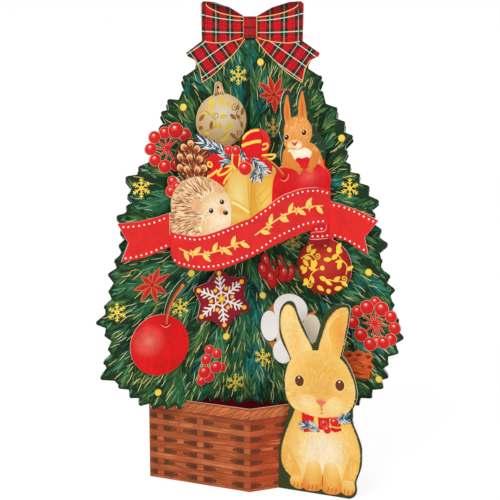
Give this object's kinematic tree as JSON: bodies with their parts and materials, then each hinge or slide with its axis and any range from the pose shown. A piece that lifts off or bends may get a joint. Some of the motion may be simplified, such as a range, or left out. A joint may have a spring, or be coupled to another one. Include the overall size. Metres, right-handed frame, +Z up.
{
  "type": "pop-up christmas card",
  "caption": "Stand-up paper card of folded die-cut layers: a fir tree with a bow, a ribbon banner, raised ornaments, a basket-print foot and a rabbit panel.",
  "frame": {"origin": "middle of the plan, on the surface the card stands on", "axes": "+Z up, +X to the viewer's right, +Y to the back"},
  "size_m": [0.1202, 0.0456, 0.19],
  "materials": {
    "base_card": "printed card, plain white back",
    "front_tree": "printed card with foil dots",
    "strap": "plain white card",
    "basket": "printed card, wicker pattern",
    "banner": "printed card",
    "rabbit": "printed card",
    "gold_bauble": "printed card with foil",
    "cookie": "printed card",
    "cherry": "printed card",
    "foam": "white foam pad"
  },
  "bodies": {
    "root": {"base_card": "base_card", "front_tree": "front_tree", "upper_strap": "strap", "lower_strap": "strap", "basket_front": "basket", "banner": "banner", "rabbit_panel": "rabbit", "gold_bauble": "gold_bauble", "star_cookie": "cookie", "cherry": "cherry", "foam_pads": "foam"}
  },
  "joints": []
}
